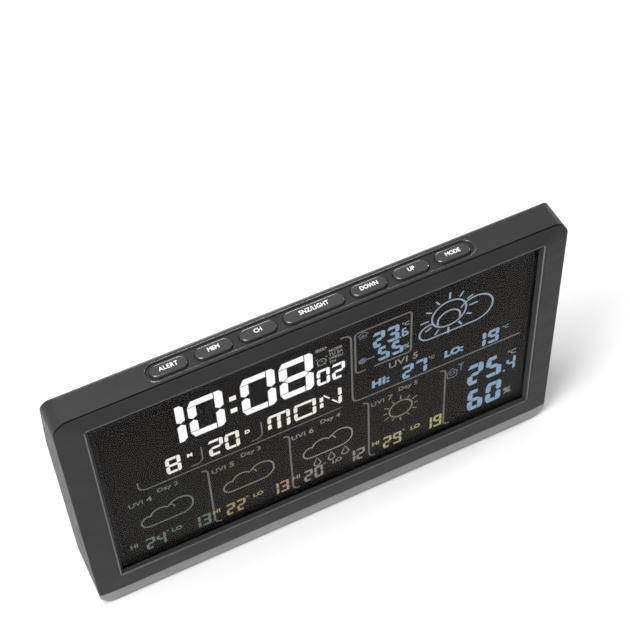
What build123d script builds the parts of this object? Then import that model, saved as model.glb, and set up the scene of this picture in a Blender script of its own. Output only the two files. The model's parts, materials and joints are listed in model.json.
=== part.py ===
from build123d import *
import os

# Desk weather station: millimetres, +Z up, X across the front, -Y towards the viewer.
# The origin is on the table, under the middle of the case.

# overall sizes
width = 219.0
height = 134.5
depth = 28.0
cornerRadius = 7.0
wall = 2.2

# feet and base strip
footStand = 1.0
footRadius = 4.0
footSink = 0.6
footEdge = 2.0
baseHeight = 7.9
baseScrewInset = 49.5
ballastGap = 8.0
ballastHalf = 8.0
ballastThick = 3.0

# front frame and display window
frameTop = 7.3
frameSide = 11.0
frameBottom = 10.9
frameCrown = 1.5
frameEdge = 0.3
frameLand = 1.2
grooveWidth = 0.8
tongueDepth = 2.4
tongueThick = 1.5
windowThick = 1.5
windowLap = 2.0
pocketRib = 1.2

# top keys
keyCount = 3
keyLength = 15.2
snoozeLength = 25.6
keyDepth = 5.8
keySpacing = 3.2
keyRise = 0.7
keyEdge = 0.9
keyTravel = 0.5
flangeLap = 0.8
flangeThick = 0.8
keyMargin = 1.7
trayRecess = 0.8
trayMargin = 1.9
trayFront = 1.1
trayEdge = 0.4

# switches under the keys
switchSide = 4.5
switchHeight = 1.1
plungerRadius = 1.2
plungerLength = 1.1
plungerLift = 0.6
boardThick = 1.0

# display stack
glassThick = 2.2
guideThick = 3.0
sheetThick = 0.3
holderWall = 1.2
holderPlate = 1.5
guideLift = 3.8
ledCount = 12
ledSize = 0.9

# rear panel
shoulderHeight = 42.5
rearLean = 12.7
topEdge = 2.0
shoulderRound = 14.0

# case screws
bossRadius = 2.8
bossMeet = 12.0
seatThick = 2.0
screwHeadRadius = 2.4
screwHeadThick = 1.8
screwRadius = 1.25
screwTube = 1.1
caseScrewSide = 6.5
caseScrewLegGap = 12.0
caseScrewLow = 5.4
caseScrewDrop = 13.6

# boards
mainBoardWidth = 148.0
mainBoardLap = 4.0
mainBoardLow = 30.0
mainBoardThick = 1.6
standoff = 2.4
smallScrewRadius = 0.95
smallHeadRadius = 2.0
smallHeadThick = 1.4
boardScrewInset = 4.5
ribbonWidth = 36.0

# rear keys and slide switches
rearKeyRadius = 2.75
rearKeyX = 62.0
rearKeyPitch = 11.0
rearKeyDrop = 6.0
rearSink = 0.2
slideKnob = 3.5
slideKnobHigh = 2.0
slideTravel = 4.0
slideCaseLong = 11.0
slideCaseDeep = 5.0

# sensor vents, buzzer and radio
sensorInset = 19.5
sensorGap = 2.8
leadLap = 4.0
ventPitch = 3.2
ventHigh = 1.2
buzzerX = -34.0
buzzerDrop = 2.0
radioX = 40.0
radioDrop = 4.0
radioTall = 20.0
antennaLength = 22.0

# low-voltage inlet
inletX = 52.0
inletZ = 38.0
inletSide = 9.0
inletBore = 2.75
inletDepth = 9.0
inletPinRadius = 0.75

# backup cell and its door
cellRadius = 10.0
cellThick = 3.2
doorWidth = 28.0
doorHeight = 30.0
doorThick = 1.6
cellRoom = 1.5
cellSpring = 0.9
doorDrop = 2.0
doorGap = 0.25

# fold-out foot
legWidth = 56.0
legDoorGap = 5.0
legThick = 3.6
legAxisZ = 13.0
pinRadius = 1.5
pinReach = 6.3
pinSeat = 2.8
tipHeight = 6.0
legRoom = 1.0
legGap = 0.5

# clearances
slideGap = 0.3
fitGap = 0.2
pinGap = 0.15

front = -depth / 2
back = depth / 2
baseTop = footStand + baseHeight
windowFront = front + frameCrown + frameEdge
trayDepth = keyDepth + 2 * keyMargin
baseScrewX = width / 2 - baseScrewInset
caseScrewX = width / 2 - caseScrewSide
caseScrewInner = legWidth / 2 + caseScrewLegGap
windowBack = windowFront + windowThick
openHalf = width / 2 - frameSide
openLow = baseTop + frameBottom
openHigh = height - frameTop
rimFront = windowFront + grooveWidth
trayCentre = rimFront + trayFront + trayDepth / 2
trayFloor = height - trayRecess
wallUnder = height - wall
flangeTop = wallUnder - fitGap
flangeBottom = flangeTop - flangeThick
keyBoardTop = flangeBottom - plungerLift - plungerLength
keyBoardLow = keyBoardTop - boardThick
snoozePitch = snoozeLength / 2 + keySpacing + keyLength / 2
keyPitch = keyLength + keySpacing
trayLength = 2 * (snoozePitch + (keyCount - 1) * keyPitch + keyLength / 2 + trayMargin)
holderHalf = openHalf - 0.5
holderLow = openLow - 0.8
holderHigh = keyBoardLow - fitGap
glassFront = windowBack + slideGap
guideFront = glassFront + glassThick
sheetFront = guideFront + guideThick
plateFront = sheetFront + sheetThick
plateBack = plateFront + holderPlate
mainFront = plateBack + standoff
mainBack = mainFront + mainBoardThick
rearInner = back - wall
shoulderZ = height - shoulderHeight
rearKeyTop = shoulderZ - rearKeyDrop
mainBoardHeight = shoulderZ + mainBoardLap - mainBoardLow
cellZ = shoulderZ - doorDrop - doorHeight / 2
doorLow = cellZ - doorHeight / 2
legLength = doorLow - legDoorGap - legAxisZ
legAxisY = back - fitGap - legThick / 2
cellFloor = back - fitGap - doorThick - 0.4 - cellThick - cellSpring - 1.3
sensorX = sensorInset - width / 2
sensorFace = rearInner - sensorGap
ventLow = mainBoardLow + 12.0
buzzerZ = rearKeyTop - buzzerDrop
radioZ = rearKeyTop - radioDrop
pinEnd = legWidth / 2 + legGap + pinSeat
bossPlane = front + bossMeet
postX = width / 2 - wall - 2 * fitGap - 4.0


def block(x0, x1, y0, y1, z0, z1):
    """A box given by its limits."""
    return Pos((x0 + x1) / 2, (y0 + y1) / 2, (z0 + z1) / 2) * Box(x1 - x0, y1 - y0, z1 - z0)


def plate(half, z0, z1, radius, y0, y1):
    """A rounded rectangle in the XZ plane, thickened from y0 back to y1."""
    outline = Pos(0, (z0 + z1) / 2) * RectangleRounded(2 * half, z1 - z0, radius)
    return extrude(Plane.XZ.offset(-y0) * outline, -(y1 - y0))


def rod(x, z, radius, y0, y1):
    """A cylinder along Y."""
    return Pos(x, (y0 + y1) / 2, z) * Rot(90, 0, 0) * Cylinder(radius, y1 - y0)


def post(x, y, radius, z0, z1):
    """A cylinder along Z."""
    return Pos(x, y, (z0 + z1) / 2) * Cylinder(radius, z1 - z0)


def stadium(x, y, length, across, z0, z1):
    """A slot shape with round ends, thickened along Z."""
    return Pos(x, y, z0) * extrude(SlotOverall(length, across), z1 - z0)


def strip(points, radius, thick, across, plane):
    """A flat ribbon of one thickness that follows a rounded path."""
    return extrude(plane * trace(FilletPolyline(*points, radius=radius), thick), across / 2, both=True)


def caseSolid(inset):
    """The whole case from table edge to top, drawn in by inset on every side."""
    lean = rearLean
    rear = back - inset
    roof = height - inset
    low = footStand + inset
    top = rear - lean
    outline = Polyline(
        (front, low), (rear, low), (rear, shoulderZ), (top, roof), (front, roof), close=True
    )
    side = extrude(Plane.YZ * make_face(outline), width / 2, both=True)
    shoulder = side.edges().filter_by(Axis.X).filter_by(lambda e: abs(e.center().Z - shoulderZ) < 0.01)
    side = fillet(shoulder, shoulderRound)
    ridge = side.edges().filter_by(Axis.X).filter_by(
        lambda e: abs(e.center().Z - roof) < 0.01 and abs(e.center().Y - top) < 0.01
    )
    side = fillet(ridge, max(topEdge - inset, 0.4))
    return side & plate(width / 2 - inset, low, roof, max(cornerRadius - inset, 1.0), front, back)


def keyPlaces():
    """The seven top keys as (name, middle, length), left to right."""
    names = ["alert", "mem", "ch", "snooze", "down", "up", "mode"]
    places = []
    for index, name in enumerate(names):
        step = index - keyCount
        if step == 0:
            places.append((name, 0.0, snoozeLength))
        else:
            side = 1 if step > 0 else -1
            places.append((name, side * (snoozePitch + (abs(step) - 1) * keyPitch), keyLength))
    return places


def rearKeyPlaces():
    """The three rear keys as (name, height)."""
    names = ["sensor", "refresh", "reset"]
    return [(name, rearKeyTop - index * rearKeyPitch) for index, name in enumerate(names)]


def slidePlaces():
    """The two slide switches as (name, height)."""
    return [("unit", rearKeyTop), ("dimmer", rearKeyTop - 1.5 * rearKeyPitch)]


def caseScrewPlaces():
    low = baseTop + caseScrewLow
    high = height - caseScrewDrop
    return [
        (-caseScrewX, low), (-caseScrewInner, low), (caseScrewInner, low), (caseScrewX, low),
        (-caseScrewX, high), (caseScrewX, high),
    ]


def holderPostPlaces():
    third = (openHigh - openLow) / 3
    return [(side * postX, openLow + third * k) for side in (-1, 1) for k in (1, 2)]


def boardScrewPlaces():
    inset = boardScrewInset
    low = mainBoardLow + inset
    high = mainBoardLow + mainBoardHeight - inset
    return [(side * (mainBoardWidth / 2 - inset), z) for side in (-1, 1) for z in (low, high)]


def keyBoardPosts():
    return [side * (trayLength / 2 + 2.5) for side in (-1, 1)]


def frontFrame():
    lower = block(-width, width, front - 1, back, baseTop, height + 1)
    outer = Plane.XZ.offset(-(front + frameCrown)) * Pos(0, (footStand + height) / 2) * RectangleRounded(
        width, height - footStand, cornerRadius
    )
    inner = Plane.XZ.offset(-front) * Pos(0, (openLow + openHigh) / 2) * RectangleRounded(
        2 * (openHalf + frameLand), openHigh - openLow + 2 * frameLand, cornerRadius / 2
    )
    crown = loft([outer.face(), inner.face()], ruled=True) & lower
    flange = plate(width / 2, footStand, height, cornerRadius, front + frameCrown, windowFront) & lower
    body = crown + flange
    body -= plate(openHalf, openLow, openHigh, 1.5, front - 1, windowFront + 1)
    rim = body.edges().filter_by(lambda e: abs(e.center().Y - front) < 0.001 and abs(e.center().X) <= openHalf)
    body = fillet(rim.filter_by(lambda e: openLow - 0.1 <= e.center().Z <= openHigh + 0.1), 0.45)
    inset = wall + fitGap
    tongueLow = baseTop + inset
    tongue = plate(width / 2 - inset, tongueLow, height - inset, cornerRadius - inset, windowFront,
                   windowFront + tongueDepth)
    tongue -= plate(width / 2 - inset - tongueThick, tongueLow + tongueThick,
                    height - inset - tongueThick, cornerRadius - inset - tongueThick,
                    windowFront - 1, windowFront + tongueDepth + 1)
    grip = windowLap + fitGap
    rib = plate(openHalf + grip + pocketRib, openLow - grip - pocketRib, openHigh + grip + 0.9, 2.0,
                windowFront, windowBack)
    rib -= plate(openHalf + grip, openLow - grip, openHigh + grip, 1.5, windowFront - 1, windowBack + 1)
    body += tongue + rib
    for x, z in caseScrewPlaces():
        body += rod(x, z, bossRadius, windowFront, bossPlane)
    for x, z in holderPostPlaces():
        body += rod(x, z, smallHeadRadius + 0.3, windowFront, plateFront)
    body -= plate(openHalf + grip, openLow - grip, openHigh + grip, 1.5, windowFront, windowBack)
    for x, z in caseScrewPlaces():
        body -= rod(x, z, screwRadius + 0.05, windowFront + 1.0, bossPlane + 1)
    for x, z in holderPostPlaces():
        body -= rod(x, z, smallScrewRadius + 0.05, windowFront + 1.0, plateFront + 1)
    return body


def displayWindow():
    return plate(openHalf + windowLap, openLow - windowLap, openHigh + windowLap, 1.3,
                 windowFront, windowBack)


def legPocket(grow):
    """The space round the folded foot, grown outwards by grow."""
    side = legWidth / 2 + legGap
    floor = back - fitGap - legThick - legGap
    low = legAxisZ - legThick / 2 - legRoom
    high = legAxisZ + legLength + legGap
    return block(-side - grow * 2, side + grow * 2, floor - grow, back + 1, low - grow, high + grow)


def cellPocket():
    """The hollow that holds the backup cell, up to the ledge that its door closes on."""
    half = cellRadius + cellRoom
    return block(-half, half, cellFloor, back, cellZ - half, cellZ + half)


def doorRecess():
    half = doorWidth / 2 + doorGap
    low = doorLow - doorGap
    high = doorLow + doorHeight + doorGap
    return block(-half, half, back - doorThick - fitGap, back + 1, low, high)


def rearHousing():
    outside = caseSolid(0) & block(-width, width, rimFront, back + 1, baseTop, height + 1)
    cavity = caseSolid(wall) & block(-width, width, rimFront - 1, back, baseTop + wall, height)
    body = outside - cavity
    body += (legPocket(1.6) & outside)
    half = cellRadius + cellRoom + 4.0
    body += block(-half, half, cellFloor - 1.6, rearInner + 0.5, cellZ - half, cellZ + half)
    for x, z in caseScrewPlaces():
        tube = rod(x, z, screwHeadRadius + 0.2 + screwTube, bossPlane, back)
        body += tube & caseSolid(wall / 2)
    for x in keyBoardPosts():
        body += post(x, trayCentre, 2.2, keyBoardTop, wallUnder + 0.5)
    for x in (-baseScrewX, baseScrewX):
        body += post(x, 0.0, 3.4, baseTop, baseTop + 8.0)
    body -= stadium(0, trayCentre, trayLength, trayDepth, trayFloor, height + 1)
    lip = body.edges().filter_by(lambda e: abs(e.center().Z - height) < 0.001)
    lip = lip.filter_by(lambda e: abs(e.center().Y - trayCentre) < trayDepth / 2 + 0.01)
    body = fillet(lip.filter_by(lambda e: abs(e.center().X) < trayLength / 2), trayEdge)
    for name, x, length in keyPlaces():
        body -= stadium(x, trayCentre, length + 2 * slideGap, keyDepth + 2 * slideGap,
                        wallUnder - 1, height)
    body -= legPocket(0)
    body -= cellPocket()
    body -= doorRecess()
    for x, z in caseScrewPlaces():
        body -= rod(x, z, screwHeadRadius + 0.2, bossPlane + seatThick, back + 1)
        body -= rod(x, z, screwRadius + 0.25, bossPlane - 1, back + 1)
    for x in keyBoardPosts():
        body -= post(x, trayCentre, smallScrewRadius + 0.05, keyBoardTop - 1, wallUnder - 0.6)
    for x in (-baseScrewX, baseScrewX):
        body -= post(x, 0.0, screwRadius + 0.05, baseTop - 1, baseTop + 7.0)
    for name, z in rearKeyPlaces():
        body -= rod(rearKeyX, z, rearKeyRadius + slideGap, rearInner - 1, back + 1)
    run = slideKnob + slideTravel + 2 * slideGap
    for name, z in slidePlaces():
        body -= block(-rearKeyX - run / 2, -rearKeyX + run / 2, rearInner - 1, back + 1,
                      z - slideKnobHigh / 2 - slideGap, z + slideKnobHigh / 2 + slideGap)
    body -= rod(inletX, inletZ, inletBore + 0.9, rearInner - 1, back + 1)
    for x, z, half in ventSlots():
        body -= block(x - half, x + half, rearInner - 1, back + 1, z - ventHigh / 2, z + ventHigh / 2)
    body -= Pos(0, legAxisY, legAxisZ) * Rot(0, 90, 0) * Cylinder(pinRadius + 0.02, 2 * pinEnd)
    for z in (ventLow - 4.0, ventLow + 22.0):
        body += rod(sensorX, z, 1.5, sensorFace, rearInner + 0.5)
    return body


def ventSlots():
    """The air slots over the sensor and the sound slots over the buzzer, as (x, z, half length)."""
    air = [(sensorX, ventLow + ventPitch * k, 7.0) for k in range(6)]
    sound = [(buzzerX, buzzerZ + ventPitch * (k - 2), 6.0) for k in range(5)]
    return air + sound


def base():
    outside = plate(width / 2, footStand, height, cornerRadius, front + frameCrown, back)
    outside &= block(-width, width, front, back, footStand, baseTop)
    inside = plate(width / 2 - wall, footStand + wall, height, cornerRadius - wall,
                   front + frameCrown + wall, back - wall)
    body = outside - inside
    edge = body.edges().filter_by(Axis.X).filter_by(
        lambda e: abs(e.center().Z - footStand) < 0.01 and abs(abs(e.center().Y) - depth / 2) < 1.1
    )
    body = fillet(edge, 0.8)
    for x in (-baseScrewX, baseScrewX):
        body += post(x, 0.0, 4.4, footStand + wall / 2, baseTop)
        body -= post(x, 0.0, screwRadius + 0.25, 0, baseTop + 1)
        body -= post(x, 0.0, screwHeadRadius + 0.3, 0, footStand + seatThick + 0.6)
    for x, y in footPlaces():
        body -= post(x, y, footRadius + 0.1, 0, footStand + footSink)
    return body


def footPlaces():
    middle = frameCrown / 2
    reach = (depth - frameCrown) / 2 - footEdge - footRadius
    side = width / 2 - cornerRadius - footEdge - footRadius
    return [(sx * side, middle + sy * reach) for sx in (-1, 1) for sy in (-1, 1)]


def rubberFeet():
    feet = []
    for x, y in footPlaces():
        pad = post(x, y, footRadius, 0, footStand + footSink)
        feet.append(chamfer(pad.edges().group_by(Axis.Z)[0], 0.4))
    return feet


def ballast():
    low = footStand + wall
    half = baseScrewX - ballastGap
    return block(-half, half, -ballastHalf, ballastHalf, low, low + ballastThick)


def topKey(x, length):
    cap = stadium(x, trayCentre, length, keyDepth, flangeTop, height + keyRise)
    rim = cap.edges().group_by(Axis.Z)[-1]
    cap = fillet(rim, keyEdge)
    return cap + stadium(x, trayCentre, length + 2 * flangeLap, keyDepth + 2 * flangeLap,
                         flangeBottom, flangeTop)


def switchCase():
    """A low switch standing on Z = 0, with the well that its plunger sinks into."""
    return Pos(0, 0, switchHeight / 2) * Box(switchSide, switchSide, switchHeight) - post(
        0, 0, plungerRadius + fitGap, -1, switchHeight + 1
    )


def plunger():
    return post(0, 0, plungerRadius, plungerLift, plungerLift + plungerLength)


def topSeat(x):
    return Pos(x, trayCentre, keyBoardTop)


def rearSeat(z):
    return Pos(rearKeyX, mainBack, z) * Rot(-90, 0, 0)


def switchCases():
    cases = [topSeat(x) * switchCase() for name, x, length in keyPlaces()]
    return cases + [rearSeat(z) * switchCase() for name, z in rearKeyPlaces()]


def keyBoard():
    half = trayLength / 2 + 6.0
    board = block(-half, half, trayCentre - 4.2, trayCentre + 4.2, keyBoardLow, keyBoardTop)
    for x in keyBoardPosts():
        board -= post(x, trayCentre, smallScrewRadius + 0.15, keyBoardLow - 1, keyBoardTop + 1)
    return board


def displayGlass():
    gap = slideGap
    half = holderHalf - holderWall - gap
    return block(-half, half, glassFront, guideFront, holderLow + holderWall + gap,
                 holderHigh - holderWall - gap)


def guideLimits():
    half = holderHalf - holderWall - slideGap
    low = holderLow + holderWall + slideGap + guideLift
    high = holderHigh - holderWall - slideGap
    return half, low, high


def lightGuide():
    half, low, high = guideLimits()
    return block(-half + 1.0 + ledSize + fitGap, half, guideFront, sheetFront, low, high)


def reflector():
    half, low, high = guideLimits()
    return block(-half, half, sheetFront, plateFront, low, high)


def ledBoard():
    half, low, high = guideLimits()
    return block(-half, -half + 0.8, guideFront, sheetFront, low + 1, high - 1)


def leds():
    half, low, high = guideLimits()
    pitch = (high - low - 10) / (ledCount - 1)
    middle = (guideFront + sheetFront) / 2
    lamps = []
    for k in range(ledCount):
        z = low + 5 + k * pitch
        lamps.append(block(-half + 0.8, -half + 0.8 + ledSize, middle - 1.1, middle + 1.1, z - 1.5, z + 1.5))
    return lamps


def displayHolder():
    shell = block(-holderHalf, holderHalf, glassFront, plateBack, holderLow, holderHigh)
    shell -= block(-holderHalf + holderWall, holderHalf - holderWall, glassFront - 1, plateFront,
                   holderLow + holderWall, holderHigh - holderWall)
    for x, z in holderPostPlaces():
        side = 1 if x > 0 else -1
        near = side * (holderHalf - 0.5)
        far = side * (postX + 2.2)
        shell += block(min(near, far), max(near, far), plateFront, plateBack, z - 3.2, z + 3.2)
        shell -= rod(x, z, smallScrewRadius + 0.15, plateFront - 1, plateBack + 1)
    for x, z in boardScrewPlaces():
        shell += rod(x, z, 2.6, plateBack - 0.5, mainFront)
        shell -= rod(x, z, smallScrewRadius + 0.05, plateBack - 0.4, mainFront + 1)
    for x in keyBoardPosts():
        shell -= post(x, trayCentre, smallHeadRadius + slideGap, keyBoardLow - smallHeadThick - fitGap,
                      holderHigh + 1)
    slotLow = holderLow + holderWall + slideGap
    shell -= block(-ribbonWidth / 2 - 0.5, ribbonWidth / 2 + 0.5, plateFront - 1, plateBack + 1,
                   slotLow, slotLow + guideLift)
    return shell


def displayRibbon():
    start = holderLow + holderWall + slideGap + guideLift / 2
    lane = mainFront - sheetThick / 2
    path = [(guideFront, start), (lane, start), (lane, mainBoardLow + 4.0)]
    return strip(path, 1.2, sheetThick, ribbonWidth, Plane.YZ)


def keyRibbon():
    lane = mainFront - sheetThick / 2
    level = keyBoardLow - sheetThick / 2
    path = [(plateBack + 0.2, level), (lane, level), (lane, mainBoardLow + mainBoardHeight - 4.0)]
    return strip(path, 1.0, sheetThick, 16.0, Plane.YZ)


def mainBoard():
    half = mainBoardWidth / 2
    board = block(-half, half, mainFront, mainBack, mainBoardLow, mainBoardLow + mainBoardHeight)
    for x, z in boardScrewPlaces():
        board -= rod(x, z, smallScrewRadius + 0.15, mainFront - 1, mainBack + 1)
    return board


def boardPart(x, z, across, tall, thick):
    """A flat component on the rear of the main board."""
    return block(x - across / 2, x + across / 2, mainBack, mainBack + thick, z - tall / 2, z + tall / 2)


def mainChips():
    return [
        boardPart(0, 46, 14, 14, 1.6),
        boardPart(-24, 48, 8, 6, 1.6),
        boardPart(24, 40, 6, 5, 1.8),
        boardPart(-44, 42, 10, 8, 1.4),
    ]


def radioBoard():
    return boardPart(radioX, radioZ, 16, radioTall, 0.8)


def radioShield():
    can = Pos(0, 0.8, 0) * boardPart(radioX, radioZ - 2, 13, 13, 2.0)
    return chamfer(can.edges().group_by(Axis.Y)[-1], 0.3)


def antenna():
    foot = radioZ + radioTall / 2
    return post(radioX, mainBack + 0.4, 0.4, foot, foot + antennaLength)


def buzzer():
    shell = rod(buzzerX, buzzerZ, 6.0, mainBack, mainBack + 5.0)
    return shell - rod(buzzerX, buzzerZ, 1.2, mainBack + 4.0, mainBack + 6.0)


def powerInlet():
    far = rearInner - fitGap
    half = inletSide / 2
    shell = block(inletX - half, inletX + half, mainBack, far, inletZ - half, inletZ + half)
    return shell - rod(inletX, inletZ, inletBore, far - inletDepth, far + 1)


def inletPin():
    far = rearInner - fitGap
    pin = rod(inletX, inletZ, inletPinRadius, far - inletDepth, far - 1.0)
    return chamfer(pin.edges().group_by(Axis.Y)[-1], 0.3)


def sensorBoard():
    return block(sensorX - 5, sensorX + 5, sensorFace - boardThick, sensorFace, ventLow - 8, ventLow + 26)


def sensorChip():
    middle = ventLow + 2.5 * ventPitch
    return block(sensorX - 1.6, sensorX + 1.6, sensorFace, sensorFace + 1.2, middle - 1.5, middle + 1.5)


def sensorLead():
    thick = 0.8
    near = mainBack + thick / 2
    far = sensorFace - boardThick - thick / 2
    end = leadLap - mainBoardWidth / 2
    path = [(sensorX + 2, far), (sensorX + 8.5, far), (end - 7.5, near), (end, near)]
    return Pos(0, 0, ventLow + 9) * strip(path, 1.2, thick, 4.0, Plane.XY)


def backupCell():
    low = cellFloor + cellSpring
    return chamfer(rod(0, cellZ, cellRadius, low, low + cellThick).edges(), 0.3)


def cellContacts():
    floor = cellFloor
    spring = block(-4.0, 4.0, floor, floor + 0.4, cellZ - 4.0, cellZ + 4.0)
    spring += rod(0, cellZ, 1.6, floor + 0.4, floor + cellSpring)
    x = cellRadius + 0.1
    side = block(x, x + 0.5, floor, floor + 5.0, cellZ - 4.0, cellZ + 4.0)
    return [spring, side]


def batteryDoor():
    half = doorWidth / 2
    door = block(-half, half, back - doorThick, back, doorLow, doorLow + doorHeight)
    edge = door.edges().filter_by(Axis.Y).group_by(Axis.Z)[-1]
    door = fillet(edge, 1.2)
    for k in range(4):
        z = doorLow + doorHeight - 5.0 - 2.0 * k
        door -= block(-5.0, 5.0, back - 0.5, back + 1, z - 0.4, z + 0.4)
    return door


def rearKey(z, sink):
    face = back - rearSink - sink
    flangeFar = rearInner - fitGap
    flangeNear = flangeFar - flangeThick
    tip = mainBack + plungerLift + plungerLength
    cap = rod(rearKeyX, z, rearKeyRadius, flangeFar, face)
    cap = fillet(cap.edges().group_by(Axis.Y)[-1], 0.4)
    return cap + rod(rearKeyX, z, rearKeyRadius + 1.2, flangeNear, flangeFar) + rod(
        rearKeyX, z, 1.5, tip, flangeNear
    )


def slideCases():
    cases = []
    run = slideKnob + slideTravel + 2 * slideGap
    for name, z in slidePlaces():
        shell = block(-rearKeyX - slideCaseLong / 2, -rearKeyX + slideCaseLong / 2, mainBack,
                      mainBack + slideCaseDeep, z - 2.8, z + 2.8)
        well = mainBack + slideCaseDeep - 2.4
        shell -= block(-rearKeyX - run / 2, -rearKeyX + run / 2, well, back,
                       z - slideKnobHigh / 2 - slideGap, z + slideKnobHigh / 2 + slideGap)
        cases.append(shell)
    return cases


def slideKnobPiece(z):
    x = -rearKeyX - slideTravel / 2
    near = mainBack + slideCaseDeep - 2.2
    knob = block(x - slideKnob / 2, x + slideKnob / 2, near, back - rearSink,
                 z - slideKnobHigh / 2, z + slideKnobHigh / 2)
    for k in (-1, 0, 1):
        knob -= block(x + k - 0.2, x + k + 0.2, back - rearSink - 0.4, back,
                      z - slideKnobHigh, z + slideKnobHigh)
    return knob


def standLeg():
    y = legAxisY
    half = legWidth / 2
    top = legAxisZ + legLength - tipHeight
    barrel = Pos(0, y, legAxisZ) * Rot(0, 90, 0) * Cylinder(legThick / 2, legWidth)
    leg = barrel + block(-half, half, y - legThick / 2, y + legThick / 2, legAxisZ, top)
    window = legWidth / 2 - 12.0
    leg -= block(-window, window, y - legThick / 2 - 1, y - legThick / 2 + 1.4, legAxisZ + 8, top - 5)
    for k in range(3):
        z = top - 3.0 - 1.8 * k
        leg -= block(-10, 10, y + legThick / 2 - 0.5, y + legThick, z - 0.4, z + 0.4)
    for side in (-1, 1):
        inner = half - pinReach - 0.4
        leg -= Pos(side * (inner + half) / 2, y, legAxisZ) * Rot(0, 90, 0) * Cylinder(
            pinRadius + pinGap, half - inner
        )
    return leg


def legTip():
    y = legAxisY
    half = legWidth / 2
    top = legAxisZ + legLength - tipHeight
    tip = block(-half, half, y - legThick / 2, y + legThick / 2, top, top + tipHeight)
    return fillet(tip.edges().filter_by(Axis.X).group_by(Axis.Z)[-1], 1.2)


def legPins():
    pins = []
    for side in (-1, 1):
        far = pinEnd - 0.1
        near = legWidth / 2 - pinReach
        pins.append(Pos(side * (near + far) / 2, legAxisY, legAxisZ) * Rot(0, 90, 0) * Cylinder(
            pinRadius, far - near
        ))
    return pins


def screw(headRadius, headThick, shankRadius, length):
    """A cross-recessed screw on Z = 0, head below, shank up."""
    head = Pos(0, 0, -headThick / 2) * Cylinder(headRadius, headThick)
    head = fillet(head.edges().group_by(Axis.Z)[0], headThick * 0.4)
    arm = headRadius * 1.1
    for across, along in ((arm, 0.5), (0.5, arm)):
        head -= Pos(0, 0, -headThick) * Box(across, along, headThick)
    return head + post(0, 0, shankRadius, 0, length)


def caseScrews():
    one = screw(screwHeadRadius, screwHeadThick, screwRadius, bossMeet - 2.5)
    return [Pos(x, bossPlane + seatThick, z) * Rot(90, 0, 0) * one for x, z in caseScrewPlaces()]


def baseScrews():
    one = screw(screwHeadRadius, screwHeadThick, screwRadius, baseHeight + 2.0)
    return [Pos(x, 0, footStand + seatThick + 0.6) * one for x in (-baseScrewX, baseScrewX)]


def holderScrews():
    one = screw(smallHeadRadius, smallHeadThick, smallScrewRadius, 5.5)
    return [Pos(x, plateBack, z) * Rot(90, 0, 0) * one for x, z in holderPostPlaces()]


def boardScrews():
    one = screw(smallHeadRadius, smallHeadThick, smallScrewRadius, 3.6)
    screws = [Pos(x, mainBack, z) * Rot(90, 0, 0) * one for x, z in boardScrewPlaces()]
    low = screw(smallHeadRadius, smallHeadThick, smallScrewRadius, 2.6)
    return screws + [Pos(x, trayCentre, keyBoardLow) * low for x in keyBoardPosts()]


def save(name, shape):
    """Write one node; a list of solids becomes one group."""
    if isinstance(shape, list):
        solids = [solid for item in shape for solid in item.solids()]
    else:
        solids = list(shape.solids())
    whole = solids[0] if len(solids) == 1 else Compound(children=solids)
    export_step(whole, "parts/" + name + ".step")


os.makedirs("parts", exist_ok=True)

save("front_frame", frontFrame())
save("display_window", displayWindow())
save("rear_housing", rearHousing())
save("base", base())
save("rubber_feet", rubberFeet())
save("ballast", ballast())
for keyName, keyX, keyLong in keyPlaces():
    save("key_" + keyName, topKey(keyX, keyLong))
    save("plunger_" + keyName, topSeat(keyX) * plunger())
save("switch_cases", switchCases())
save("key_board", keyBoard())
save("display_glass", displayGlass())
save("light_guide", lightGuide())
save("reflector", reflector())
save("led_board", ledBoard())
save("leds", leds())
save("display_holder", displayHolder())
save("display_ribbon", displayRibbon())
save("key_ribbon", keyRibbon())
save("main_board", mainBoard())
save("chips", mainChips() + [sensorChip()])
save("radio_board", radioBoard())
save("radio_shield", radioShield())
save("antenna", antenna())
save("buzzer", buzzer())
save("power_inlet", powerInlet())
save("inlet_pin", inletPin())
save("sensor_board", sensorBoard())
save("sensor_lead", sensorLead())
save("backup_cell", backupCell())
save("cell_contacts", cellContacts())
save("battery_door", batteryDoor())
for keyName, keyZ in rearKeyPlaces():
    save("rear_key_" + keyName, rearKey(keyZ, 0.6 if keyName == "reset" else 0.0))
    save("rear_plunger_" + keyName, rearSeat(keyZ) * plunger())
save("slide_cases", slideCases())
for knobName, knobZ in slidePlaces():
    save("slide_" + knobName, slideKnobPiece(knobZ))
save("stand_leg", standLeg())
save("leg_tip", legTip())
save("leg_pins", legPins())
save("case_screws", caseScrews())
save("base_screws", baseScrews())
save("holder_screws", holderScrews())
save("board_screws", boardScrews())
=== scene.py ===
import json
import math

import bmesh
import bpy
from mathutils import Matrix, Vector


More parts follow.
